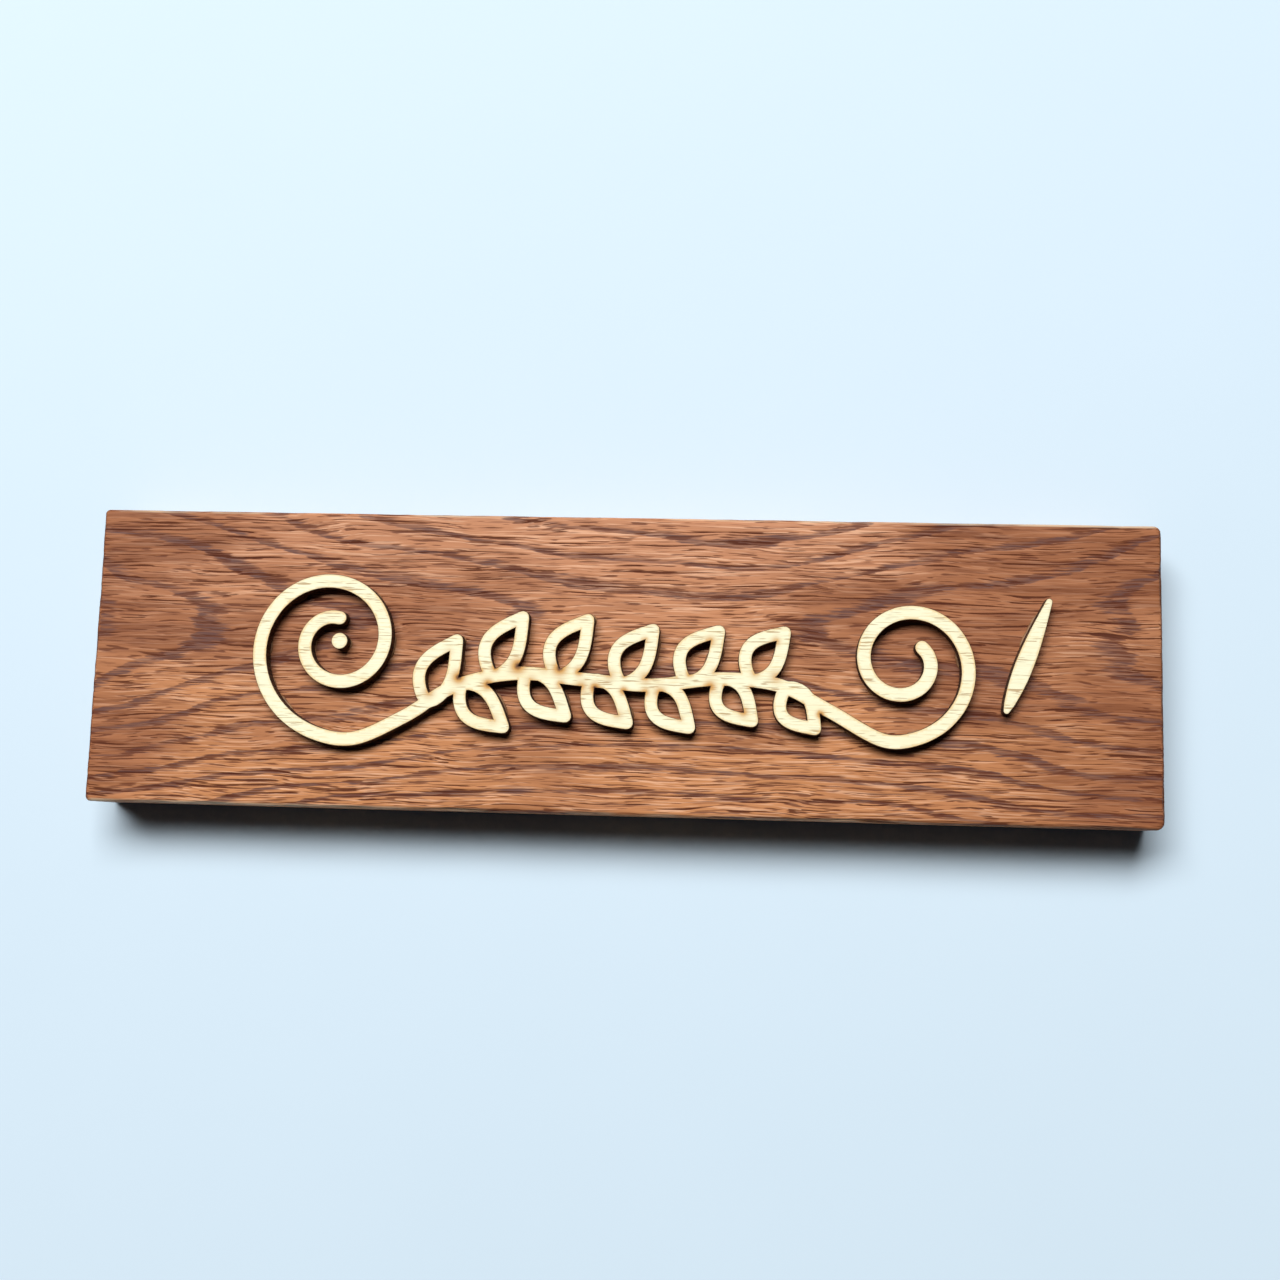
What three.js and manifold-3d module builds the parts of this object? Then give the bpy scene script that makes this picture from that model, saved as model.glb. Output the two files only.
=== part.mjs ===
// A wooden award plaque: a thick oak board lying on its back, with a laurel sprig, a slim
// accent leaf and a berry, laser-cut from thin plywood and glued to its face.
//
// Frame, in millimetres: the origin is the centre of the back face, +X runs along the
// board from left to right as it is read, +Y up the face, +Z out of the face.

import * as THREE from "three";
import { mergeVertices } from "three/addons/utils/BufferGeometryUtils.js";
import Module from "manifold-3d";

const wasm = await Module();
wasm.setup();

// ---- Driving dimensions ----

const BOARD = {
  length: 250,
  height: 70,
  thickness: 18,
  easing: 1, // how far its long and short edges are rounded over, in easingSteps facets
  easingSteps: 3,
  corner: 1.6, // how far its four corners are rounded, in cornerSteps facets
  cornerSteps: 4,
};

// Each cut-out is two layers of one shape. The glue stays back from the ply's edge by its
// inset, and its outline takes only every second point of the line that the ply follows.
const PLY = { thickness: 3, inset: 0, stride: 1 };
const GLUE = { thickness: 0.25, inset: 0.7, stride: 2 };

const STEM_WIDTH = 3.4;
const LEAF_STROKE = 3.2;
const CAP_STEPS = 6; // sides of a stroke's round end
const CLOSEST_POINTS = 0.08; // a joined outline's points are at least this far apart
const FLATTEST_BEND = 0.002; // and each stands at least this far off the line through its neighbours

// The stem curls into a volute at each end. A volute is a log spiral that grows by `growth`
// each quarter turn until it reaches `radius` at `lastAngle`, in degrees, where the stem begins.
const LEFT_VOLUTE = { x: -66, y: 3.5, radius: 23, turns: 1.55, growth: 1.25, lastAngle: 282, side: 1 };
const RIGHT_VOLUTE = { x: 66, y: 1.5, radius: 18.5, turns: 1.4, growth: 1.25, lastAngle: 282, side: -1 };
const VOLUTE_POINTS_PER_TURN = 16;

// Points that the stem passes between its volutes.
const STEM_POINTS = [
  [-49, -13.5],
  [-38, -6.5],
  [-24, -3],
  [-8, -4],
  [8, -5],
  [24, -3.2],
  [38, -4.5],
  [49, -10],
];
const STEM_STEPS = 180;

// Looped leaves stand on the stem in two rows, shrinking from the first to the last.
const UPPER_LEAVES = {
  count: 6,
  firstX: -44,
  pitch: 15,
  length: [16, 13.5],
  angle: [66, 56],
  width: 7.6,
  bow: 1,
};
const LOWER_LEAVES = {
  count: 6,
  firstX: -36,
  pitch: 15,
  length: [14, 11.5],
  angle: [-44, -54],
  width: 7.2,
  bow: -0.8,
};
const LEAF_FULLNESS = 0.8; // under 1 puts a leaf's widest place nearer its base
const LEAF_STEPS = 12;

const ACCENT_LEAF = { x: 89, y: -9, length: 27, angle: 69, widest: 4.4, tip: 1.7, steps: 24 };
const BERRY = { x: -65.2, y: 3.8, diameter: 4, sides: 28 };

// ---- Materials ----

const stainedOak = new THREE.MeshStandardMaterial({ color: 0x9a6244, roughness: 0.55, metalness: 0 });
const palePly = new THREE.MeshStandardMaterial({ color: 0xf3dfae, roughness: 0.7, metalness: 0 });
const driedGlue = new THREE.MeshStandardMaterial({ color: 0xd8c9a0, roughness: 0.35, metalness: 0 });

// ---- Lines that the cut-outs follow ----

function radians(degrees) {
  return THREE.MathUtils.degToRad(degrees);
}

// A volute's points, from its eye out to the stem.
function volutePoints({ x, y, radius, turns, growth, lastAngle, side }) {
  const steps = Math.round(turns * VOLUTE_POINTS_PER_TURN);
  const points = [];
  for (let i = 0; i <= steps; i++) {
    const turned = turns * (i / steps - 1); // in turns, 0 where the stem begins
    const angle = radians(lastAngle + 360 * turned);
    const reach = radius * growth ** (4 * turned);
    points.push(new THREE.Vector3(x + side * reach * Math.cos(angle), y + reach * Math.sin(angle), 0));
  }
  return points;
}

const stemCurve = new THREE.CatmullRomCurve3([
  ...volutePoints(LEFT_VOLUTE),
  ...STEM_POINTS.map(([x, y]) => new THREE.Vector3(x, y, 0)),
  ...volutePoints(RIGHT_VOLUTE).reverse(),
]);
const stemLine = stemCurve.getSpacedPoints(STEM_STEPS);

// The place between the volutes where the stem crosses x.
function onStem(x) {
  const reach = Math.abs(STEM_POINTS[0][0]);
  const between = stemLine.filter((p) => Math.abs(p.x) < reach);
  const after = between.findIndex((p) => p.x >= x);
  const [a, b] = [between[after - 1], between[after]];
  return a.clone().lerp(b, (x - a.x) / (b.x - a.x));
}

// One side of a looped leaf, from its base to its tip: side is 1 or -1.
function leafSide(base, angle, length, { width, bow }, side) {
  const along = new THREE.Vector3(Math.cos(angle), Math.sin(angle), 0);
  const across = new THREE.Vector3(-along.y, along.x, 0);
  const points = [];
  for (let i = 0; i <= LEAF_STEPS; i++) {
    const t = i / LEAF_STEPS;
    const half = (side * width * Math.sin(Math.PI * t ** LEAF_FULLNESS)) / 2;
    const off = half + bow * Math.sin(Math.PI * t);
    points.push(base.clone().addScaledVector(along, length * t).addScaledVector(across, off));
  }
  return points;
}

function leafLines(row) {
  const lines = [];
  for (let i = 0; i < row.count; i++) {
    const t = i / (row.count - 1);
    const angle = radians(THREE.MathUtils.lerp(...row.angle, t));
    const length = THREE.MathUtils.lerp(...row.length, t);
    const base = onStem(row.firstX + i * row.pitch);
    lines.push(leafSide(base, angle, length, row, 1), leafSide(base, angle, length, row, -1));
  }
  return lines;
}

// ---- Solids ----

// The outline of a stroke along a line: width(t) wide, with round ends, in a layer of a cut-out.
function strokeOutline(line, width, layer) {
  const spine = line.filter((_, i) => i % layer.stride === 0);
  const last = spine.length - 1;
  const edgePoint = (i, hand) => {
    const along = spine[Math.min(i + 1, last)].clone().sub(spine[Math.max(i - 1, 0)]).normalize();
    const off = hand * (width(i / last) / 2 - layer.inset);
    return new THREE.Vector2(spine[i].x - along.y * off, spine[i].y + along.x * off);
  };
  const roundEnd = (i, from) => {
    const centre = new THREE.Vector2(spine[i].x, spine[i].y);
    const turns = Array.from({ length: CAP_STEPS - 1 }, (_, k) => (-Math.PI * (k + 1)) / CAP_STEPS);
    return turns.map((turn) => from.clone().rotateAround(centre, turn));
  };
  const left = spine.map((_, i) => edgePoint(i, 1));
  const right = spine.map((_, i) => edgePoint(i, -1)).reverse();
  return [...left, ...roundEnd(last, left[last]), ...right, ...roundEnd(0, right[last])];
}

// A flat solid from its outline and the outlines of its openings.
function sheetGeometry(outline, openings, thickness) {
  const shape = new THREE.Shape(outline);
  shape.holes = openings.map((opening) => new THREE.Path(opening));
  return new THREE.ExtrudeGeometry(shape, { depth: thickness, bevelEnabled: false });
}

function toManifold(geometry) {
  const bare = geometry.clone().deleteAttribute("normal").deleteAttribute("uv");
  const merged = mergeVertices(bare, 1e-4);
  return new wasm.Manifold(
    new wasm.Mesh({
      numProp: 3,
      vertProperties: merged.getAttribute("position").array,
      triVerts: new Uint32Array(merged.index.array),
    }),
  );
}

// The loops that bound the top of a flat solid: its outline and the outlines of its openings.
function topLoops(solid, top) {
  const { vertProperties, triVerts } = solid.getMesh();
  const isTop = (vertex) => vertProperties[3 * vertex + 2] > top - 1e-3;
  const edges = new Map(); // "from,to" of each edge that no second top triangle shares
  for (let i = 0; i < triVerts.length; i += 3) {
    const corners = [...triVerts.subarray(i, i + 3)];
    if (!corners.every(isTop)) continue;
    corners.forEach((from, k) => {
      const to = corners[(k + 1) % 3];
      if (!edges.delete(`${to},${from}`)) edges.set(`${from},${to}`, [from, to]);
    });
  }
  const following = new Map(edges.values());
  const loops = [];
  while (following.size) {
    const loop = [];
    let vertex = following.keys().next().value;
    while (following.has(vertex)) {
      loop.push(new THREE.Vector2(vertProperties[3 * vertex], vertProperties[3 * vertex + 1]));
      const to = following.get(vertex);
      following.delete(vertex);
      vertex = to;
    }
    loops.push(loop);
  }
  return loops;
}

// Drops each point that lies too close to the one before it, or in line with its neighbours.
function tidied(loop) {
  const spaced = loop.filter((p, i) => p.distanceTo(loop.at(i - 1)) > CLOSEST_POINTS);
  return spaced.filter((p, i) => {
    const before = spaced.at(i - 1);
    const chord = spaced[(i + 1) % spaced.length].clone().sub(before);
    return Math.abs(chord.cross(p.clone().sub(before))) / chord.length() > FLATTEST_BEND;
  });
}

// One flat solid from outlines that overlap.
function joinedSheet(outlines, thickness) {
  const solids = outlines.map((outline) => toManifold(sheetGeometry(outline, [], thickness)));
  const loops = topLoops(solids.reduce((sum, next) => sum.add(next)), thickness).map(tidied);
  const outer = loops.filter((loop) => !THREE.ShapeUtils.isClockWise(loop));
  const openings = loops.filter((loop) => THREE.ShapeUtils.isClockWise(loop) && loop.length > 2);
  if (outer.length !== 1) throw new Error("the outlines don't join into one piece");
  return sheetGeometry(outer[0], openings, thickness);
}

function boardGeometry({ length, height, thickness, easing, easingSteps, corner, cornerSteps }) {
  const w = length / 2 - easing;
  const h = height / 2 - easing;
  const outline = new THREE.Shape()
    .moveTo(-w + corner, -h)
    .lineTo(w - corner, -h)
    .absarc(w - corner, -h + corner, corner, -Math.PI / 2, 0)
    .lineTo(w, h - corner)
    .absarc(w - corner, h - corner, corner, 0, Math.PI / 2)
    .lineTo(-w + corner, h)
    .absarc(-w + corner, h - corner, corner, Math.PI / 2, Math.PI)
    .lineTo(-w, -h + corner)
    .absarc(-w + corner, -h + corner, corner, Math.PI, 1.5 * Math.PI);
  return new THREE.ExtrudeGeometry(outline, {
    depth: thickness - 2 * easing,
    bevelThickness: easing,
    bevelSize: easing,
    bevelSegments: easingSteps,
    curveSegments: cornerSteps,
  }).translate(0, 0, easing);
}

// The sprig is the stem with its volutes and all the looped leaves, in one piece.
function sprigGeometry(layer) {
  const stem = strokeOutline(stemLine, () => STEM_WIDTH, layer);
  const leaves = [...leafLines(UPPER_LEAVES), ...leafLines(LOWER_LEAVES)];
  const leafStrokes = leaves.map((line) => strokeOutline(line, () => LEAF_STROKE, layer));
  return joinedSheet([stem, ...leafStrokes], layer.thickness);
}

function accentLeafGeometry(layer) {
  const { x, y, length, angle, widest, tip, steps } = ACCENT_LEAF;
  const along = new THREE.Vector3(Math.cos(radians(angle)), Math.sin(radians(angle)), 0);
  const base = new THREE.Vector3(x, y, 0);
  const line = Array.from({ length: steps + 1 }, (_, i) =>
    base.clone().addScaledVector(along, (length * i) / steps),
  );
  const width = (t) => tip + (widest - tip) * Math.sin(Math.PI * t ** LEAF_FULLNESS);
  return sheetGeometry(strokeOutline(line, width, layer), [], layer.thickness);
}

function berryGeometry(layer) {
  const radius = BERRY.diameter / 2 - layer.inset;
  return new THREE.CylinderGeometry(radius, radius, layer.thickness, BERRY.sides)
    .rotateX(Math.PI / 2)
    .translate(BERRY.x, BERRY.y, layer.thickness / 2);
}

// ---- Assembly ----

const plaque = new THREE.Group();
plaque.name = "plaque";

function place(name, geometry, material, z) {
  const piece = new THREE.Mesh(geometry, material);
  piece.name = name;
  piece.position.z = z;
  plaque.add(piece);
}

place("plaque_board", boardGeometry(BOARD), stainedOak, 0);

const cutOuts = { sprig: sprigGeometry, accent_leaf: accentLeafGeometry, berry: berryGeometry };
for (const [name, shape] of Object.entries(cutOuts)) {
  place(name + "_glue", shape(GLUE), driedGlue, BOARD.thickness);
  place(name + "_cutout", shape(PLY), palePly, BOARD.thickness + GLUE.thickness);
}

export default plaque;
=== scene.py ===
"""Looks of the wooden award plaque: a stained oak board lying on its back, with ornament
cut by laser from pale plywood and glued to its face."""

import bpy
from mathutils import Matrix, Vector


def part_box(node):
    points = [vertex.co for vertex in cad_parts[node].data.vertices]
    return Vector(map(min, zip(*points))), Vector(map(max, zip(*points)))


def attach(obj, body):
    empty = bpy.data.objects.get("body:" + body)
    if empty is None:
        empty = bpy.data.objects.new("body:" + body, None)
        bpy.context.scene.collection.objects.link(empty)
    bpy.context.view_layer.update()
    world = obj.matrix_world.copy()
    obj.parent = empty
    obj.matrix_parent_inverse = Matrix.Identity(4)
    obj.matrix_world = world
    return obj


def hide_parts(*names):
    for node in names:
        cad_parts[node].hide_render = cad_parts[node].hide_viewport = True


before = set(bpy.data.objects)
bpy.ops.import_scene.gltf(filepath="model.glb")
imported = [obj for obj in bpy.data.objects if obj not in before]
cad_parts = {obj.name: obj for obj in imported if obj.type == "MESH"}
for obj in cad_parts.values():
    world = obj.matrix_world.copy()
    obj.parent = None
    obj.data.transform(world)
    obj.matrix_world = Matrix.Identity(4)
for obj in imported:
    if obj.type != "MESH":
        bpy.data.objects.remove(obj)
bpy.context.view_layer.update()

import math

import bmesh
import bpy
import numpy as np
from mathutils import Matrix, Vector, geometry, noise

MM = 0.001

BOARD_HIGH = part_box("plaque_board")[1]
FACE_Z = BOARD_HIGH.z


# ---------------------------------------------------------------- writing nodes


class Value:
    """A number, colour or vector in a node tree. Arithmetic on numbers adds Math nodes."""

    def __init__(self, tree, socket):
        self.tree = tree
        self.socket = socket

    def __add__(self, other):
        return self.tree.math("ADD", self, other)

    __radd__ = __add__

    def __mul__(self, other):
        return self.tree.math("MULTIPLY", self, other)

    __rmul__ = __mul__

    def __sub__(self, other):
        return self.tree.math("SUBTRACT", self, other)

    def __rsub__(self, other):
        return self.tree.math("SUBTRACT", other, self)

    def __truediv__(self, other):
        return self.tree.math("DIVIDE", self, other)

    def __pow__(self, other):
        return self.tree.math("POWER", self, other)


# The places of a Mix node's colour sockets, whose names repeat.
MIX_FACTOR, MIX_FIRST, MIX_SECOND, MIX_RESULT = 0, 6, 7, 2


class Tree:
    """Adds nodes to a material's tree or to a Geometry Nodes tree."""

    def __init__(self, node_tree):
        self.node_tree = node_tree

    def feed(self, socket, value):
        if isinstance(value, Value):
            self.node_tree.links.new(value.socket, socket)
        else:
            socket.default_value = value

    def add(self, kind, settings=None, inputs=(), output=0):
        """Adds a node of this kind: its settings first, then its sockets by name or by place."""
        node = self.node_tree.nodes.new(kind)
        for name, value in (settings or {}).items():
            setattr(node, name, value)
        pairs = inputs.items() if isinstance(inputs, dict) else enumerate(inputs)
        for key, value in pairs:
            self.feed(node.inputs[key], value)
        return Value(self, node.outputs[output])

    def math(self, operation, *terms):
        return self.add("ShaderNodeMath", {"operation": operation}, terms)

    def smooth(self, value, low, high, start=0.0, end=1.0):
        """Eases from start to end as value goes from low to high."""
        settings = {"interpolation_type": "SMOOTHSTEP"}
        return self.add("ShaderNodeMapRange", settings, (value, low, high, start, end))

    def stretched(self, point, size):
        """The point divided by a length along each axis."""
        shrink = tuple(1 / length for length in size)
        return self.add("ShaderNodeVectorMath", {"operation": "MULTIPLY"}, (point, shrink))

    def object_position(self):
        """Where the shaded point is, in metres, in the object's own coordinates."""
        return self.add("ShaderNodeTexCoord", output="Object")

    def in_mm(self, position):
        """A position given in metres, in millimetres."""
        return self.stretched(position, (MM, MM, MM))

    def noise(self, point, size, detail=1.0, roughness=0.5):
        """Soft noise about 0.5 with features about this size along each axis."""
        vector = self.stretched(point, size)
        inputs = {"Vector": vector, "Scale": 1.0, "Detail": detail, "Roughness": roughness}
        return self.add("ShaderNodeTexNoise", {}, inputs)

    def bump(self, strength, distance, height):
        """A normal that follows a height whose unit is this distance in metres."""
        inputs = {"Strength": strength, "Distance": distance, "Height": height}
        return self.add("ShaderNodeBump", {}, inputs)

    def split(self, point):
        parts = self.add("ShaderNodeSeparateXYZ", {}, (point,))
        return [Value(self, socket) for socket in parts.socket.node.outputs]

    def mix(self, factor, first, second):
        """Mixes two colours."""
        settings = {"data_type": "RGBA", "blend_type": "MIX", "clamp_factor": True}
        inputs = {MIX_FACTOR: factor, MIX_FIRST: first, MIX_SECOND: second}
        return self.add("ShaderNodeMix", settings, inputs, MIX_RESULT)


def material(name, paint, **constants):
    """A material whose changing sockets come from paint(tree) and whose others are constants."""
    made = bpy.data.materials.new(name)
    made.use_nodes = True
    tree = Tree(made.node_tree)
    shader = made.node_tree.nodes["Principled BSDF"]
    for socket, value in constants.items():
        shader.inputs[socket.replace("_", " ")].default_value = value
    for socket, value in paint(tree).items():
        tree.feed(shader.inputs[socket], value)
    return made


# ---------------------------------------------------------------- oak

# Lengths in this part are in millimetres. A noise's size is given along the board, up its face
# and through its thickness.

RING_PITCH = 3.3
CROWN = {"x": 14, "half_length": 125, "rise": 9.5}  # where the rings bulge along the board
PITH_BELOW_BACK = 18
HEART_LINE = 9  # how far up the face the arches are centred
HALF_LENGTH, HALF_HEIGHT, THICKNESS = (size / MM for size in BOARD_HIGH)

# The noises that push the rings about, and how far each pushes them.
WANDER_SIZE, WANDER = (95, 45, 45), 11
SWAY_SIZE, SWAY = (80, 24, 40), 16
RIPPLE_SIZE, RIPPLE = (34, 5.5, 5.5), 1.9

# The noise that leans the grain, and how far it leans up the face and through the board.
LEAN_SIZE, LEAN_UP, LEAN_THROUGH = (28, 9, 9), 3.4, 2

LONG_PORE_SIZE = (21, 0.52, 0.52)
SHORT_PORE_SIZE = (7, 0.46, 0.46)
COARSE_FROM, COARSE_TO = -22, -34  # up the face: the pores open towards its lower edge
STREAK_SIZE = (34, 1.7, 1.7)
FIBRE_SIZE = (11, 0.5, 0.5)
HAIR_SIZE = (16, 0.38, 0.38)
WISP_SIZE = (8, 0.5, 0.5)
PATCH_SIZE = (26, 7, 7)
BLOTCH_SIZE = (60, 22, 22)
PALEST_X, PALE_REACH = -15, 95  # where along the board the face is palest, and how far that goes
RUB_AND_HIGHLIGHT_SIZE = (30, 9, 9)

DARK_STAIN = (0.235, 0.081, 0.034, 1)
LIGHT_STAIN = (0.38, 0.148, 0.065, 1)
LOW_GOLD = (0.67, 0.295, 0.12, 1)
HIGH_GOLD = (0.63, 0.29, 0.152, 1)
# painted highlight: the colour of glints of light on the fibres
FIBRE_GLINT_PAINT = (0.86, 0.51, 0.33, 1)
DARK_FIBRE = (0.15, 0.042, 0.016, 1)
EARLY_WOOD = (0.115, 0.052, 0.046, 1)
SHORT_PORE = (0.12, 0.03, 0.012, 1)
LONG_PORE = (0.085, 0.02, 0.009, 1)
SOAKED_END = (0.07, 0.022, 0.012, 1)
# pale rubbed wood, which also serves as a painted highlight on the eased edges
BARE_WOOD_AND_HIGHLIGHT = (0.66, 0.49, 0.34, 1)


def oak_fields(tree, position):
    """The oak's growth rings and open pores at a place in the board, from its position in metres.

    The rings are round a crooked pith that runs along the board behind its back, so the face
    shows nested arches, the long sides stripes and the ends curved lines."""
    mm = tree.in_mm(position)
    x, y, z = tree.split(mm)
    wander = tree.noise(mm, WANDER_SIZE) - 0.5
    sway = tree.noise(mm, SWAY_SIZE) - 0.5
    ripple = tree.noise(mm, RIPPLE_SIZE, 2.0) - 0.5
    along = (x - CROWN["x"]) / CROWN["half_length"]
    depth = z + PITH_BELOW_BACK + CROWN["rise"] * (1 - along * along) + wander * WANDER
    across = y - HEART_LINE + sway * SWAY
    ring = ((across * across + depth * depth) ** 0.5 + ripple * RIPPLE) / RING_PITCH
    phase = tree.math("FRACT", ring)
    early = tree.smooth(phase, 0.0, 0.1) * tree.smooth(phase, 0.14, 0.52, 1.0, 0.0)

    # Fibres and pores follow the grain, which is never quite straight.
    lean = tree.noise(mm, LEAN_SIZE) - 0.5
    leant = (x, y + lean * LEAN_UP, z + lean * LEAN_THROUGH)
    grain = tree.add("ShaderNodeCombineXYZ", {}, leant)
    long_pores = tree.noise(grain, LONG_PORE_SIZE, 1.5)
    short_pores = tree.noise(grain, SHORT_PORE_SIZE)
    coarse = tree.smooth(y, COARSE_FROM, COARSE_TO) * 0.02
    fields = {"mm": mm, "x": x, "y": y, "z": z, "grain": grain, "early": early}
    fields["pores"] = tree.smooth(long_pores + early * 0.03 + coarse, 0.61, 0.65)
    fields["specks"] = tree.smooth(short_pores + early * 0.075 + coarse, 0.59, 0.66)
    return fields


def paint_oak(tree):
    oak = oak_fields(tree, tree.object_position())
    mm, grain = oak["mm"], oak["grain"]
    streak = tree.noise(grain, STREAK_SIZE, 3.0, 0.6)
    fibre = tree.noise(grain, FIBRE_SIZE, 2.0, 0.6)
    hair = tree.noise(grain, HAIR_SIZE)
    blotch = tree.noise(mm, BLOTCH_SIZE, 2.0)
    wisp = tree.noise(grain, WISP_SIZE, 2.0, 0.65)
    patch = tree.noise(mm, PATCH_SIZE, 2.0)

    # The face is paler and more golden along the middle of the board, and warmer and a little brighter
    # towards its lower edge.
    colour = tree.mix(tree.smooth(streak, 0.34, 0.66), DARK_STAIN, LIGHT_STAIN)
    middle = 1 - ((oak["x"] - PALEST_X) / PALE_REACH) ** 2
    gold_share = tree.smooth(blotch + 0.12 * middle, 0.4, 0.7)
    golden = tree.mix(tree.smooth(oak["y"], -20, 28), LOW_GOLD, HIGH_GOLD)
    colour = tree.mix(gold_share * 0.66, colour, golden)

    # Painted glints of light on the fibres, dark fibres, the smudged early wood of each ring, and the
    # pores.
    painted_glints = tree.smooth(hair, 0.53, 0.65) * (0.14 + 0.42 * gold_share)
    colour = tree.mix(painted_glints, colour, FIBRE_GLINT_PAINT)
    colour = tree.mix(tree.smooth(fibre, 0.36, 0.46, 1.0, 0.0) * 0.42, colour, DARK_FIBRE)
    smudge = tree.smooth(oak["early"] + (wisp - 0.5) * 2.2 + (patch - 0.5), 0.5, 0.95)
    threads = tree.smooth(fibre, 0.42, 0.56)
    colour = tree.mix(smudge * (0.9 - 0.35 * threads), colour, EARLY_WOOD)
    colour = tree.mix(oak["specks"] * 0.8, colour, SHORT_PORE)
    colour = tree.mix(oak["pores"] * 0.9, colour, LONG_PORE)

    # The sawn ends drink more stain. The eased edges are rubbed back towards pale wood, and this pale
    # strip is also a painted highlight of the edges catching the window, strongest along the upper right
    # and lower left.
    off_end = HALF_LENGTH - tree.math("ABSOLUTE", oak["x"])
    off_side = HALF_HEIGHT - tree.math("ABSOLUTE", oak["y"])
    below_face = THICKNESS - oak["z"]
    colour = tree.mix(tree.smooth(off_end, 0.25, 0.7, 0.62, 0.0), colour, SOAKED_END)
    on_easing = tree.smooth(off_side, 0.4, 0.85, 1.0, 0.0)
    on_easing = on_easing * tree.smooth(below_face, 0.8, 1.6, 1.0, 0.0)
    # the x times y term paints the highlight strongest along the upper right and lower left edges
    rub_and_highlight = tree.noise(mm, RUB_AND_HIGHLIGHT_SIZE, 3.0, 0.6) + oak["x"] * oak["y"] * 0.00002
    worn_and_highlit = on_easing * tree.smooth(rub_and_highlight, 0.44, 0.6) * tree.smooth(off_end, 0.5, 2.0)
    colour = tree.mix(worn_and_highlit * 0.8, colour, BARE_WOOD_AND_HIGHLIGHT)

    roughness = 0.52 + 0.3 * oak["pores"] + 0.16 * (fibre - 0.5)
    height = 0.45 * fibre + 0.3 * hair - 0.7 * oak["specks"] - oak["pores"] - 0.2 * smudge
    bumped = tree.bump(0.4, 0.1 * MM, height)
    return {"Base Color": colour, "Roughness": roughness, "Normal": bumped}


# ---------------------------------------------------------------- plywood and glue

PLY_GRAIN_SIZE = (7, 0.5, 3)
DASH_SIZE = (5.5, 0.36, 3)
OPEN_GRAIN_SIZE = (24, 2.4, 5)
PLY_CLOUD_SIZE = (22, 7, 7)
SOOT_SIZE = (0.5, 0.5, 4)
GLUE_CLOUD_SIZE = (1.2, 1.2, 1.2)

PLY_SHADE = (0.8, 0.67, 0.37, 1)
PLY_LIGHT = (0.9, 0.885, 0.64, 1)
PLY_TINT = (0.88, 0.76, 0.45, 1)
DASH_BROWN = (0.42, 0.24, 0.09, 1)
RIM_BROWN = (0.8, 0.55, 0.24, 1)
SCORCH_BROWN = (0.62, 0.32, 0.085, 1)
SCORCH_CORE = (0.14, 0.055, 0.022, 1)
SOOT_BLACK = (0.035, 0.017, 0.01, 1)
SOOT_BROWN = (0.13, 0.06, 0.028, 1)
GLUE_DARK = (0.17, 0.075, 0.032, 1)
GLUE_AMBER = (0.3, 0.15, 0.065, 1)


def paint_ply(tree):
    mm = tree.in_mm(tree.object_position())
    char = tree.add("ShaderNodeAttribute", {"attribute_name": "char"}, output="Fac")
    scorch = tree.add("ShaderNodeAttribute", {"attribute_name": "scorch"}, output="Fac")

    grain = tree.noise(mm, PLY_GRAIN_SIZE, 3.0, 0.62)
    dash = tree.noise(mm, DASH_SIZE, 1.5)
    open_grain = tree.noise(mm, OPEN_GRAIN_SIZE)
    cloud = tree.noise(mm, PLY_CLOUD_SIZE, 2.0)
    colour = tree.mix(tree.smooth(grain, 0.24, 0.5), PLY_SHADE, PLY_LIGHT)
    colour = tree.mix(tree.smooth(cloud, 0.45, 0.7) * 0.3, colour, PLY_TINT)
    dashes = tree.smooth(dash, 0.57, 0.64) * tree.smooth(open_grain, 0.42, 0.56, 0.15, 1.0)
    colour = tree.mix(dashes * 0.75, colour, DASH_BROWN)

    # Heat browns the rims and the hot spots.
    browned = tree.smooth(char, 0.0, 0.15) * tree.smooth(cloud, 0.35, 0.6, 0.25, 0.75)
    colour = tree.mix(browned, colour, RIM_BROWN)
    heat = tree.smooth(scorch + 0.25 * (grain - 0.5), 0.08, 0.85)
    colour = tree.mix(heat, colour, SCORCH_BROWN)
    colour = tree.mix(tree.smooth(scorch, 0.7, 1.05), colour, SCORCH_CORE)

    # The cut walls are charred all over.
    soot = tree.noise(mm, SOOT_SIZE, 2.0, 0.6)
    wall = tree.mix(tree.smooth(soot, 0.35, 0.7), SOOT_BLACK, SOOT_BROWN)
    colour = tree.mix(tree.smooth(char, 0.1, 0.75), colour, wall)

    height = 0.5 * grain - 0.8 * dashes + 0.6 * soot * char
    bumped = tree.bump(0.4, 0.08 * MM, height)
    return {"Base Color": colour, "Roughness": 0.62 + 0.2 * char, "Normal": bumped}


def paint_glue(tree):
    mm = tree.in_mm(tree.object_position())
    cloud = tree.noise(mm, GLUE_CLOUD_SIZE, 3.0)
    colour = tree.mix(tree.smooth(cloud, 0.3, 0.7), GLUE_DARK, GLUE_AMBER)
    bumped = tree.bump(0.3, 0.1 * MM, cloud)
    return {"Base Color": colour, "Roughness": 0.42 + 0.25 * cloud, "Normal": bumped}


# ---------------------------------------------------------------- meshes


def add_object(name, mesh, finish):
    piece = bpy.data.objects.new(name, mesh)
    bpy.context.scene.collection.objects.link(piece)
    mesh.materials.append(finish)
    return piece


BOARD_CORNERS = [radius * MM for radius in (1.9, 1.7, 1.0, 1.2)]  # lower right, upper right, and on
CORNER_STEPS = 5
BOARD_EASING = 1.0 * MM
EASING_STEPS = 6
FACE_MARGIN = 2.2 * MM  # how far inside the board's outline the grid of its face stops
FACE_STEP = (2.5 * MM, 0.15 * MM)
WALL_STEP = 0.25 * MM
END_STEP = 1.0 * MM


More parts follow.
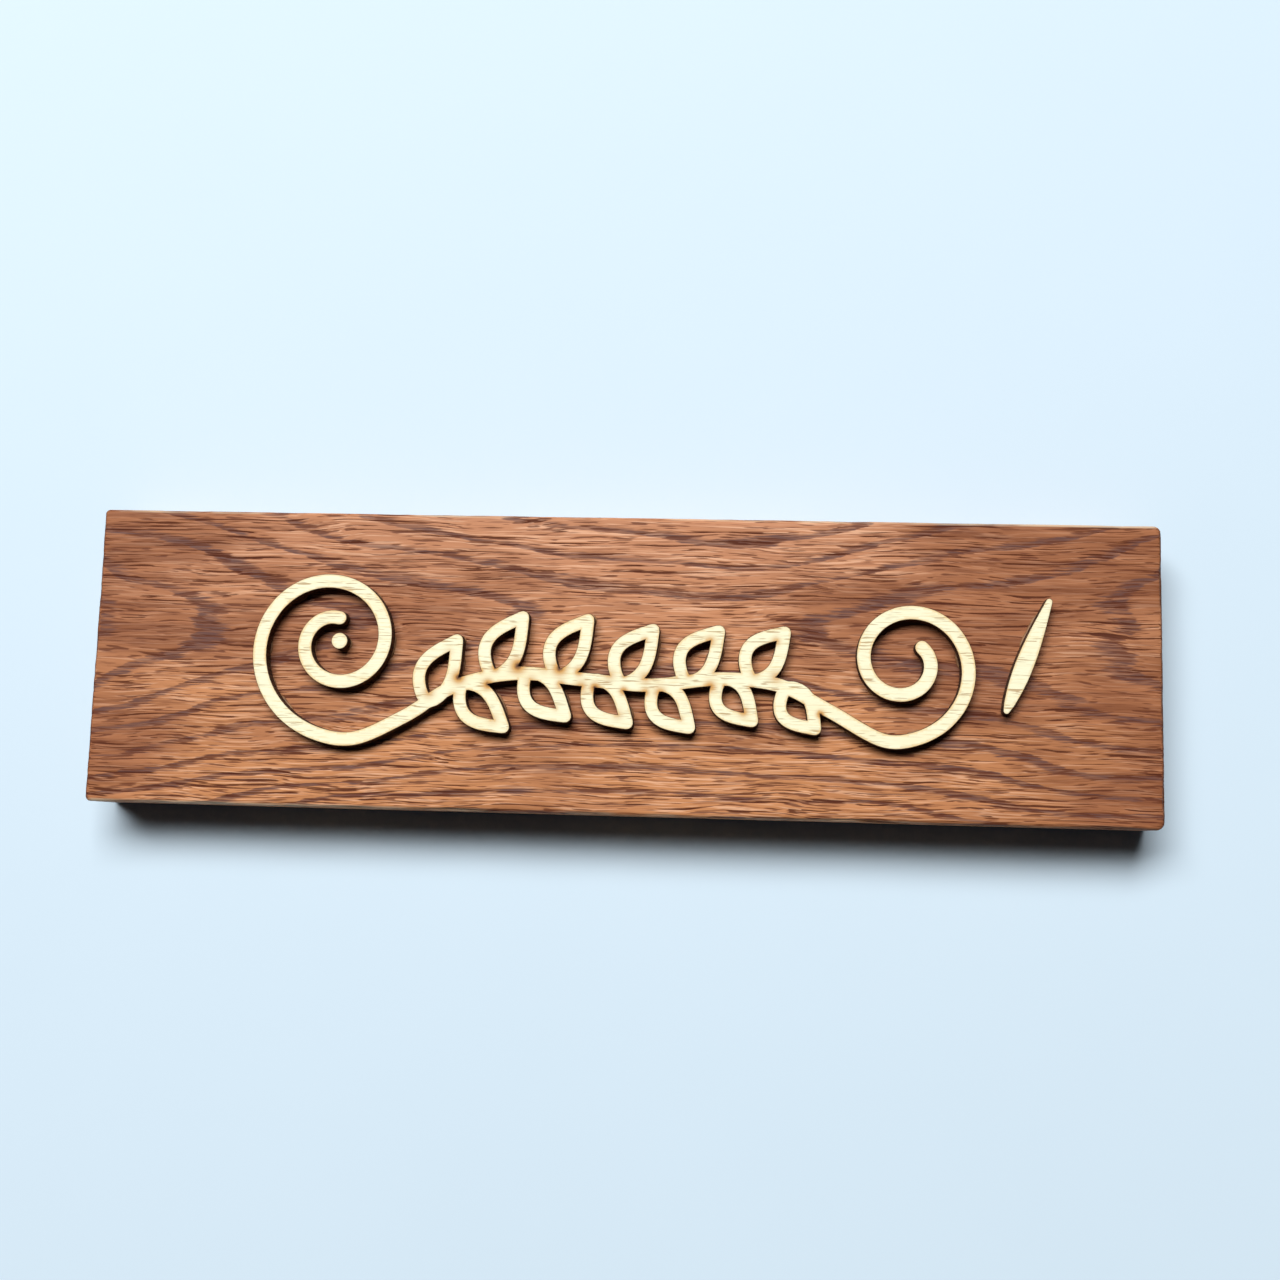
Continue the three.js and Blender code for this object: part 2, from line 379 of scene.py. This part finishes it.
def rounded_outline(half_x, half_y, radii, step_x, step_y):
    """Points round a rectangle with round corners, anticlockwise from its lower right corner."""
    corners = [Vector(sides) for sides in ((1, -1), (1, 1), (-1, 1), (-1, -1))]
    reach = [Vector((half_x - radius, half_y - radius)) for radius in radii]
    points = []
    for k, (corner, radius) in enumerate(zip(corners, radii)):
        centre = corner * reach[k]
        for i in range(CORNER_STEPS + 1):
            angle = math.radians(90 * (k - 1 + i / CORNER_STEPS))
            points.append(centre + radius * Vector((math.cos(angle), math.sin(angle))))
        side = Vector((0, 1)) if k % 2 == 0 else Vector((1, 0))
        direction = Vector((corner.y * -1, corner.x)) * side
        following = corners[(k + 1) % 4] * reach[(k + 1) % 4]
        length = abs((following - centre).dot(side))
        steps = round(length / (step_y if k % 2 == 0 else step_x))
        start = points[-1].copy()
        points += [start + direction * length * i / steps for i in range(1, steps)]
    return points


def zipper(faces, first, second, places):
    """Joins two closed loops with different numbers of points by triangles."""
    i = j = 0
    while i < len(first) or j < len(second):
        a, b = first[i % len(first)], second[j % len(second)]
        next_a, next_b = first[(i + 1) % len(first)], second[(j + 1) % len(second)]
        step_a = (places[next_a] - places[b]).length if i < len(first) else math.inf
        step_b = (places[next_b] - places[a]).length if j < len(second) else math.inf
        if step_a < step_b:
            faces.append((a, next_a, b))
            i += 1
        else:
            faces.append((a, next_b, b))
            j += 1


def board_mesh():
    half_x, half_y = BOARD_HIGH.x, BOARD_HIGH.y
    places = []
    faces = []

    # The face is a grid, fine across the grain, that stops a little inside the eased edge.
    flat_x, flat_y = half_x - FACE_MARGIN, half_y - FACE_MARGIN
    columns = round(2 * flat_x / FACE_STEP[0])
    rows = round(2 * flat_y / FACE_STEP[1])
    for row in range(rows + 1):
        y = flat_y * (2 * row / rows - 1)
        for column in range(columns + 1):
            x = flat_x * (2 * column / columns - 1)
            places.append(Vector((x, y, FACE_Z)))

    def at(row, column):
        return row * (columns + 1) + column

    for row in range(rows):
        for column in range(columns):
            near = (at(row, column), at(row, column + 1))
            far = (at(row + 1, column + 1), at(row + 1, column))
            faces.append(near + far)
    edge = [at(row, columns) for row in range(rows)]
    edge += [at(rows, column) for column in range(columns, 0, -1)]
    edge += [at(row, 0) for row in range(rows, 0, -1)]
    edge += [at(0, column) for column in range(columns)]

    # Rings go down from the eased front edge to the back.
    quarter = [math.radians(90 * i / EASING_STEPS) for i in range(EASING_STEPS + 1)]
    profile = [(1 - math.sin(a), math.cos(a) - 1) for a in quarter]
    profile = [(BOARD_EASING * back, FACE_Z + BOARD_EASING * drop) for back, drop in profile]
    wall_top, wall_height = FACE_Z - BOARD_EASING, FACE_Z - 2 * BOARD_EASING
    wall_rows = round(wall_height / WALL_STEP)
    profile += [(0, wall_top - wall_height * i / wall_rows) for i in range(1, wall_rows)]
    profile += [(back, FACE_Z - z) for back, z in reversed(profile[: EASING_STEPS + 1])]
    rings = []
    base = rounded_outline(half_x, half_y, BOARD_CORNERS, FACE_STEP[0], END_STEP)
    for back, z in profile:
        scale_x, scale_y = (half_x - back) / half_x, (half_y - back) / half_y
        ring = []
        for point in base:
            ring.append(len(places))
            places.append(Vector((point.x * scale_x, point.y * scale_y, z)))
        rings.append(ring)
    corner = places[edge[0]]
    start = min(range(len(base)), key=lambda k: (places[rings[0][k]] - corner).length)
    zipper(faces, rings[0][start:] + rings[0][:start], edge, places)
    for upper, lower in zip(rings, rings[1:]):
        for k in range(len(upper)):
            following = (k + 1) % len(upper)
            faces.append((upper[k], lower[k], lower[following], upper[following]))
    faces.append(tuple(reversed(rings[-1])))

    mesh = bpy.data.meshes.new("plaque_board_oak")
    mesh.from_pydata(places, [], faces)
    return mesh


CARVING = {"Pore Depth": 0.08 * MM, "Early Wood Depth": 0.04 * MM, "Edge Wear": 0.5 * MM}
DENT_SIZE = (22, 9, 6)  # in millimetres


def wear_and_open_grain(board, finish):
    """Presses the pores and the soft early wood into the board's surface and softens its edges."""
    group = bpy.data.node_groups.new("open oak grain", "GeometryNodeTree")
    group.interface.new_socket("Board", in_out="INPUT", socket_type="NodeSocketGeometry")
    sockets = {}
    for name in CARVING:
        sockets[name] = group.interface.new_socket(name, in_out="INPUT", socket_type="NodeSocketFloat")
    group.interface.new_socket("Board", in_out="OUTPUT", socket_type="NodeSocketGeometry")
    tree = Tree(group)
    inputs = group.nodes.new("NodeGroupInput")
    given = {name: Value(tree, inputs.outputs[name]) for name in ("Board", *CARVING)}
    position = tree.add("GeometryNodeInputPosition")
    normal = tree.add("GeometryNodeInputNormal")
    oak = oak_fields(tree, position)
    carved = given["Pore Depth"] * tree.math("MAXIMUM", oak["pores"], oak["specks"] * 0.6)
    carved = carved + given["Early Wood Depth"] * oak["early"]
    dents = tree.smooth(tree.noise(oak["mm"], DENT_SIZE, 2.0), 0.45, 0.75)
    slant = tree.math("ABSOLUTE", tree.split(normal)[2])
    on_edge = tree.smooth(slant, 0.05, 0.4) * tree.smooth(slant, 0.7, 0.97, 1.0, 0.0)
    carved = carved + given["Edge Wear"] * dents * on_edge
    inward = {"Vector": normal, "Scale": carved * -1}
    offset = tree.add("ShaderNodeVectorMath", {"operation": "SCALE"}, inward)
    shift = {"Geometry": given["Board"], "Offset": offset}
    moved = tree.add("GeometryNodeSetPosition", {}, shift)
    real = tree.add("GeometryNodeRealizeInstances", {}, (moved,))
    painted = tree.add("GeometryNodeSetMaterial", {}, {"Geometry": real, "Material": finish})
    output = group.nodes.new("NodeGroupOutput")
    group.links.new(painted.socket, output.inputs[0])

    modifier = board.modifiers.new("open grain", "NODES")
    modifier.node_group = group
    for name, depth in CARVING.items():
        modifier[sockets[name].identifier] = depth
    depsgraph = bpy.context.evaluated_depsgraph_get()
    carved_mesh = bpy.data.meshes.new_from_object(board.evaluated_get(depsgraph))
    board.modifiers.clear()
    board.data = carved_mesh


# ---------------------------------------------------------------- cut-outs

SAME_POINT = 1e-7  # in metres
OUTLINE_STEP = 0.45 * MM  # between the points round a cut-out
FILL_STEP = 0.55 * MM  # between the points scattered over its top
FILL_REACH = 3 * MM  # how far from its outline they are scattered
SHARP_TURN = math.radians(38)  # a larger turn is a corner of the cut, not part of a curve
SHADING_TURN = math.radians(40)
WITH_HOLES = 2  # the triangulation that leaves a loop inside a loop open
FAR_OFF = 1.0  # in metres, where nothing is near

# A laser-cut wall of plywood, in millimetres: its taper, and the line between two plies.
WALL_TAPER = 0.02  # for each millimetre of height
PLY_LINES = (1 / 3, 2 / 3)
PLY_LINE_HALF_WIDTH, PLY_LINE_DEPTH = 0.07, 0.045
# (height above the foot, how far back, charring), and (depth below the top, how far back, charring)
WALL_FOOT = ((0.0, 0.05, 1), (0.06, 0.0, 1))
WALL_TOP = ((0.16, 0.0, 1), (0.06, 0.02, 0.95), (0.015, 0.06, 0.75), (0.0, 0.16, 0.15))

SCORCH_REACH = (0.7 * MM, 2.0 * MM)
SCORCH_STRENGTH = (0.25, 1.2)
FIRST_SEED = 4

GLUE_STEP = 0.5 * MM
GLUE_LUMP = 4 * MM
GLUE_SPREAD = (0.15, 1.1)  # the least and the most, in millimetres
GLUE_FILLET = ((0.0, 1.0), (0.35, 0.95), (0.75, 0.82), (0.98, 0.6))  # (rise, share of the spread)


def node_loops(node):
    """The outlines of a flat CAD node's top, as arrays of points with the solid on their left."""
    solid = bmesh.new()
    solid.from_mesh(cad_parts[node].data)
    bmesh.ops.remove_doubles(solid, verts=solid.verts, dist=SAME_POINT)
    top = max(vertex.co.z for vertex in solid.verts)
    is_top = {face: all(vertex.co.z > top - 1e-6 for vertex in face.verts) for face in solid.faces}
    following = {}
    for face in solid.faces:
        if not is_top[face]:
            continue
        for corner in face.loops:
            if not all(is_top[other] for other in corner.edge.link_faces):
                following[corner.vert] = corner.link_loop_next.vert
    loops = []
    while following:
        vertex = next(iter(following))
        loop = []
        while vertex in following:
            loop.append((vertex.co.x, vertex.co.y))
            vertex = following.pop(vertex)
        loops.append(np.array(loop))
    solid.free()
    return loops


def turns(loop):
    """How far the loop turns left at each point, in radians."""
    before = loop - np.roll(loop, 1, axis=0)
    after = np.roll(loop, -1, axis=0) - loop
    cross = before[:, 0] * after[:, 1] - before[:, 1] * after[:, 0]
    return np.arctan2(cross, (before * after).sum(axis=1))


def curved(loop, spacing):
    """The loop with points close together, along smooth curves between its sharp corners."""
    sharp = np.abs(turns(loop)) > SHARP_TURN
    count = len(loop)
    points = []
    for i in range(count):
        here, there = loop[i], loop[(i + 1) % count]
        before = 2 * here - there if sharp[i] else loop[i - 1]
        after = 2 * there - here if sharp[(i + 1) % count] else loop[(i + 2) % count]
        pairs = ((before, here), (here, there), (there, after))
        gaps = [max(np.linalg.norm(q - p), SAME_POINT) ** 0.5 for p, q in pairs]
        t0, t1 = 0.0, gaps[0]
        t2, t3 = t1 + gaps[1], t1 + gaps[1] + gaps[2]
        steps = max(1, round(np.linalg.norm(there - here) / spacing))
        for k in range(steps):
            t = t1 + (t2 - t1) * k / steps
            a = ((t1 - t) * before + (t - t0) * here) / (t1 - t0)
            b = ((t2 - t) * here + (t - t1) * there) / (t2 - t1)
            c = ((t3 - t) * there + (t - t2) * after) / (t3 - t2)
            d = ((t2 - t) * a + (t - t0) * b) / (t2 - t0)
            e = ((t3 - t) * b + (t - t1) * c) / (t3 - t1)
            points.append(((t2 - t) * d + (t - t1) * e) / (t2 - t1))
    return np.array(points)


def inset(loop, amount):
    """The loop moved towards the solid on its left."""
    after = np.roll(loop, -1, axis=0) - loop
    after = np.stack([-after[:, 1], after[:, 0]], axis=1) / np.linalg.norm(after, axis=1)[:, None]
    normal = after + np.roll(after, 1, axis=0)
    length = np.linalg.norm(normal, axis=1)[:, None]
    normal = normal / np.maximum(length * length / 2, 0.35)
    return loop + normal * np.reshape(amount, (-1, 1))


def crotches(loops):
    """Where two strokes of a cut-out meet at a sharp inside corner."""
    return np.concatenate([loop[turns(loop) < -SHARP_TURN] for loop in loops])


def nearest(points, others):
    """Each point's distance to the nearest of the others."""
    parts = np.array_split(points, 40)
    gaps = [np.linalg.norm(part[:, None] - others[None], axis=2).min(axis=1) for part in parts]
    return np.concatenate(gaps)


def sheet_mesh(name, levels, fill_step=None):
    """A flat solid from levels of (z, outlines, char), the lowest first.

    With a fill step, points are scattered over its top, so that scorching can fade across it."""
    places, faces, char = [], [], []
    level_starts = []
    for z, loops, blackening in levels:
        level_starts.append(len(places))
        for loop in loops:
            places += [(x, y, z) for x, y in loop]
            char += [blackening] * len(loop)
    first = 0
    spans = []
    for loop in levels[0][1]:
        spans.append((first, len(loop)))
        first += len(loop)
    for low, high in zip(level_starts, level_starts[1:]):
        for start, count in spans:
            for k in range(count):
                a, b = start + k, start + (k + 1) % count
                faces.append((low + a, low + b, high + b, high + a))

    def cap(level, upwards, scattered):
        outline = [Vector(places[level + k][:2]) for k in range(first)]
        points = outline + [Vector(p) for p in scattered]
        rims = [list(range(start, start + count)) for start, count in spans]
        made, _, triangles, origins, _, _ = geometry.delaunay_2d_cdt(points, [], rims, WITH_HOLES, 1e-9)
        index = {}
        for k in sorted({k for triangle in triangles for k in triangle}):
            if origins[k] and origins[k][0] < first:
                index[k] = level + origins[k][0]
            else:
                index[k] = len(places)
                places.append((*made[k], places[level][2]))
                char.append(0.0)
        for triangle in triangles:
            corners = [index[k] for k in triangle]
            faces.append(corners if upwards else corners[::-1])

    top = level_starts[-1]
    scattered = []
    if fill_step:
        outline = np.array([places[top + k][:2] for k in range(first)])
        low, high = outline.min(axis=0), outline.max(axis=0)
        across, up = np.meshgrid(*[np.arange(a, b, fill_step) for a, b in zip(low, high)])
        candidates = np.stack([across.ravel(), up.ravel()], axis=1)
        candidates[:, 0] += (np.round((candidates[:, 1] - low[1]) / fill_step) % 2) * fill_step / 2
        scattered = candidates[nearest(candidates, outline) > fill_step * 0.6]
        scattered = scattered[nearest(scattered, outline) < FILL_REACH]
    cap(level_starts[0], False, [])
    cap(top, True, scattered)

    mesh = bpy.data.meshes.new(name)
    mesh.from_pydata(places, [], faces)
    mesh.polygons.foreach_set("use_smooth", [True] * len(mesh.polygons))
    mesh.set_sharp_from_angle(angle=SHADING_TURN)
    blackened = mesh.attributes.new("char", "FLOAT", "POINT")
    blackened.data.foreach_set("value", char)
    return mesh


def scorch(mesh, hot_spots, seed):
    """Marks where the laser dwelt: brown glows at the inside corners, fading over a few millimetres."""
    rng = np.random.default_rng(seed)
    flat = np.array([vertex.co[:2] for vertex in mesh.vertices])
    heat = np.zeros(len(flat))
    for spot in hot_spots:
        reach = rng.uniform(*SCORCH_REACH)
        strength = rng.uniform(*SCORCH_STRENGTH) ** 1.2
        distance = np.linalg.norm(flat - spot, axis=1)
        heat = np.maximum(heat, strength * np.exp(-((distance / reach) ** 1.3)))
    marked = mesh.attributes.new("scorch", "FLOAT", "POINT")
    marked.data.foreach_set("value", heat)


def ply_profile(low, high):
    """A laser-cut edge: three plies with a hairline between them, a slight taper and a soft top."""
    top = (high - low) / MM
    steps = list(WALL_FOOT)
    for share in PLY_LINES:
        middle = top * share
        steps.append((middle - PLY_LINE_HALF_WIDTH, 0.0, 1))
        steps.append((middle, PLY_LINE_DEPTH, 1))
        steps.append((middle + PLY_LINE_HALF_WIDTH, 0.0, 1))
    steps += [(top - drop, back, blackening) for drop, back, blackening in WALL_TOP]
    return [(low + z * MM, (WALL_TAPER * z + back) * MM, blackening) for z, back, blackening in steps]


def cut_out(name, finish, seed):
    node = name + "_cutout"
    low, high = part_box(node)
    loops = node_loops(node)
    hot_spots = crotches(loops)
    fine = [curved(loop, OUTLINE_STEP) for loop in loops]
    profile = ply_profile(low.z, high.z)
    levels = [(z, [inset(loop, amount) for loop in fine], char) for z, amount, char in profile]
    mesh = sheet_mesh(node + "_ply", levels, FILL_STEP)
    scorch(mesh, hot_spots, seed)
    return add_object(node + "_ply", mesh, finish)


def clearances(loops):
    """For each point of each loop, how far off the nearest outline is on the open side."""
    outline = [loop + (np.roll(loop, -1, axis=0) - loop) * k / 5 for loop in loops for k in range(5)]
    outline = np.concatenate(outline)
    found = []
    for loop in loops:
        outward = loop - inset(loop, 1.0)
        outward /= np.linalg.norm(outward, axis=1)[:, None]
        gaps = []
        for point, direction in zip(loop, outward):
            away = outline - point
            distance = np.linalg.norm(away, axis=1)
            ahead = away @ direction > 0.2 * distance + 1e-9
            gaps.append(distance[ahead].min() if ahead.any() else FAR_OFF)
        found.append(np.array(gaps))
    return found


def glue_film(name, finish):
    """The dried glue under a cut-out, squeezed out past its edge here and there."""
    node = name + "_glue"
    low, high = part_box(node)
    fine = [curved(loop, GLUE_STEP) for loop in node_loops(node)]
    spread = []
    for loop, clearance in zip(fine, clearances(fine)):
        lumps = [noise.noise(Vector((x / GLUE_LUMP, y / GLUE_LUMP, 0.5))) for x, y in loop]
        lumps = np.clip(np.array(lumps) * 1.9 + 0.35, *GLUE_SPREAD) * MM
        spread.append(np.minimum(lumps, 0.35 * clearance))
    levels = []
    for rise, share in GLUE_FILLET:
        outlines = [inset(loop, -share * amount) for loop, amount in zip(fine, spread)]
        levels.append((low.z + (high.z - low.z) * rise, outlines, 0.0))
    return add_object(node + "_bead", sheet_mesh(node + "_bead", levels), finish)


# ---------------------------------------------------------------- the plaque


def keep(piece, node):
    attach(piece, "root")
    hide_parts(node)


def build_plaque():
    oak = material("stained oak", paint_oak, Specular_IOR_Level=0.14)
    ply = material("laser-cut plywood", paint_ply, Specular_IOR_Level=0.3)
    glue = material("dried glue", paint_glue, Specular_IOR_Level=0.35)

    board = add_object("plaque_board_oak", board_mesh(), oak)
    board.data.polygons.foreach_set("use_smooth", [True] * len(board.data.polygons))
    wear_and_open_grain(board, oak)
    keep(board, "plaque_board")
    for seed, name in enumerate(("sprig", "accent_leaf", "berry"), FIRST_SEED):
        keep(cut_out(name, ply, seed), name + "_cutout")
        keep(glue_film(name, glue), name + "_glue")


# ---------------------------------------------------------------- table, room, window and camera

ROOM_RADIUS, ROOM_HEIGHT = 1.5, 4.0
ROOM_SIDES = 96
BACKDROP_LIGHT_HEIGHT = 1.2  # where the wall's painted glow stops getting paler
TABLE_CLOUD_SIZE = (0.12, 0.12, 0.12)
TABLE_BLUE = (0.605, 0.745, 0.865, 1)
TABLE_PALE_BLUE = (0.635, 0.775, 0.895, 1)
LOW_BACKDROP_LIGHT = (0.5, 0.62, 0.7, 1)
HIGH_BACKDROP_LIGHT = (0.64, 0.77, 0.86, 1)

WINDOW_SIZE = (2.5, 1.2)
WINDOW_DISTANCE = 3
WINDOW_ABOVE, WINDOW_LEFT = math.radians(60), math.radians(18)
WINDOW_WATTS = 132
WINDOW_COLOUR = (1.0, 0.99, 0.97)
ROOM_COLOUR, ROOM_LIGHT = (0.85, 0.93, 1.0, 1.0), 0.015

SENSOR_WIDTH, FOCAL_LENGTH = 36, 43.6
CAMERA_TURN = (-7.25, -3.56, -1.19)  # tilt, swing and roll, in degrees
FACE_SEEN_AT = Vector((-5.2, -5.7, -361.5)) * MM  # the middle of the board's face, from the camera


def paint_table(tree):
    cloud = tree.noise(tree.object_position(), TABLE_CLOUD_SIZE, 4.0, 0.6)
    return {"Base Color": tree.mix(cloud, TABLE_BLUE, TABLE_PALE_BLUE), "Roughness": 0.75 + 0.1 * cloud}


# The wall's colour is painted light: it glows, dimmer near the table and paler higher up, though it is no
# lamp.
def paint_wall(tree):
    height = tree.split(tree.object_position())[2]
    backdrop_light = tree.mix(tree.smooth(height, 0.0, BACKDROP_LIGHT_HEIGHT), LOW_BACKDROP_LIGHT, HIGH_BACKDROP_LIGHT)
    return {"Base Color": (0, 0, 0, 1), "Emission Color": backdrop_light}


def stage_piece(name, places, faces, finish):
    mesh = bpy.data.meshes.new(name)
    mesh.from_pydata(places, [], faces)
    piece = add_object(name, mesh, finish)
    return piece


def build_room():
    """A pale table in a round pale room. The wall is seen but gives the plaque no light: its colour is
    painted light, a glow that is dimmer near the table and paler above.
    """
    angles = np.linspace(0, math.tau, ROOM_SIDES, False)
    circle = [Vector((math.cos(a), math.sin(a), 0)) * ROOM_RADIUS for a in angles]
    stage_piece("table", circle, [range(ROOM_SIDES)], material("pale blue table", paint_table))
    upper = [place + Vector((0, 0, ROOM_HEIGHT)) for place in circle]
    panels = []
    for k in range(ROOM_SIDES):
        following = (k + 1) % ROOM_SIDES
        panels.append((k, ROOM_SIDES + k, ROOM_SIDES + following, following))
    glowing_backdrop = material("glowing backdrop wall", paint_wall, Emission_Strength=1.0, Specular_IOR_Level=0.0)
    wall = stage_piece("wall", circle + upper, panels, glowing_backdrop)
    wall.visible_diffuse = wall.visible_glossy = wall.visible_shadow = False


def build_light():
    """One wide window, high up beyond the board's upper edge, and a faint blue fill."""
    lamp = bpy.data.lights.new("window", "AREA")
    lamp.shape = "RECTANGLE"
    lamp.size, lamp.size_y = WINDOW_SIZE
    lamp.energy = WINDOW_WATTS
    lamp.color = WINDOW_COLOUR
    window = bpy.data.objects.new("window", lamp)
    bpy.context.scene.collection.objects.link(window)
    away = Vector((-math.sin(WINDOW_LEFT), math.cos(WINDOW_LEFT), math.tan(WINDOW_ABOVE))).normalized()
    window.location = away * WINDOW_DISTANCE
    window.rotation_euler = away.to_track_quat("Z", "Y").to_euler()

    room = bpy.data.worlds.new("room")
    room.use_nodes = True
    background = room.node_tree.nodes["Background"]
    background.inputs["Color"].default_value = ROOM_COLOUR
    background.inputs["Strength"].default_value = ROOM_LIGHT
    bpy.context.scene.world = room
    bpy.context.scene.view_settings.view_transform = "Standard"


def build_camera():
    lens = bpy.data.cameras.new("camera")
    lens.sensor_width = SENSOR_WIDTH
    lens.lens = FOCAL_LENGTH
    camera = bpy.data.objects.new("camera", lens)
    bpy.context.scene.collection.objects.link(camera)
    tilt, swing, roll = (math.radians(angle) for angle in CAMERA_TURN)
    turned = Matrix.Rotation(roll, 4, "Z") @ Matrix.Rotation(swing, 4, "Y") @ Matrix.Rotation(tilt, 4, "X")
    seen = Matrix.Translation(FACE_SEEN_AT) @ turned
    camera.matrix_world = (seen @ Matrix.Translation((0, 0, -FACE_Z))).inverted()
    bpy.context.scene.camera = camera


build_camera()
build_room()
build_light()
build_plaque()
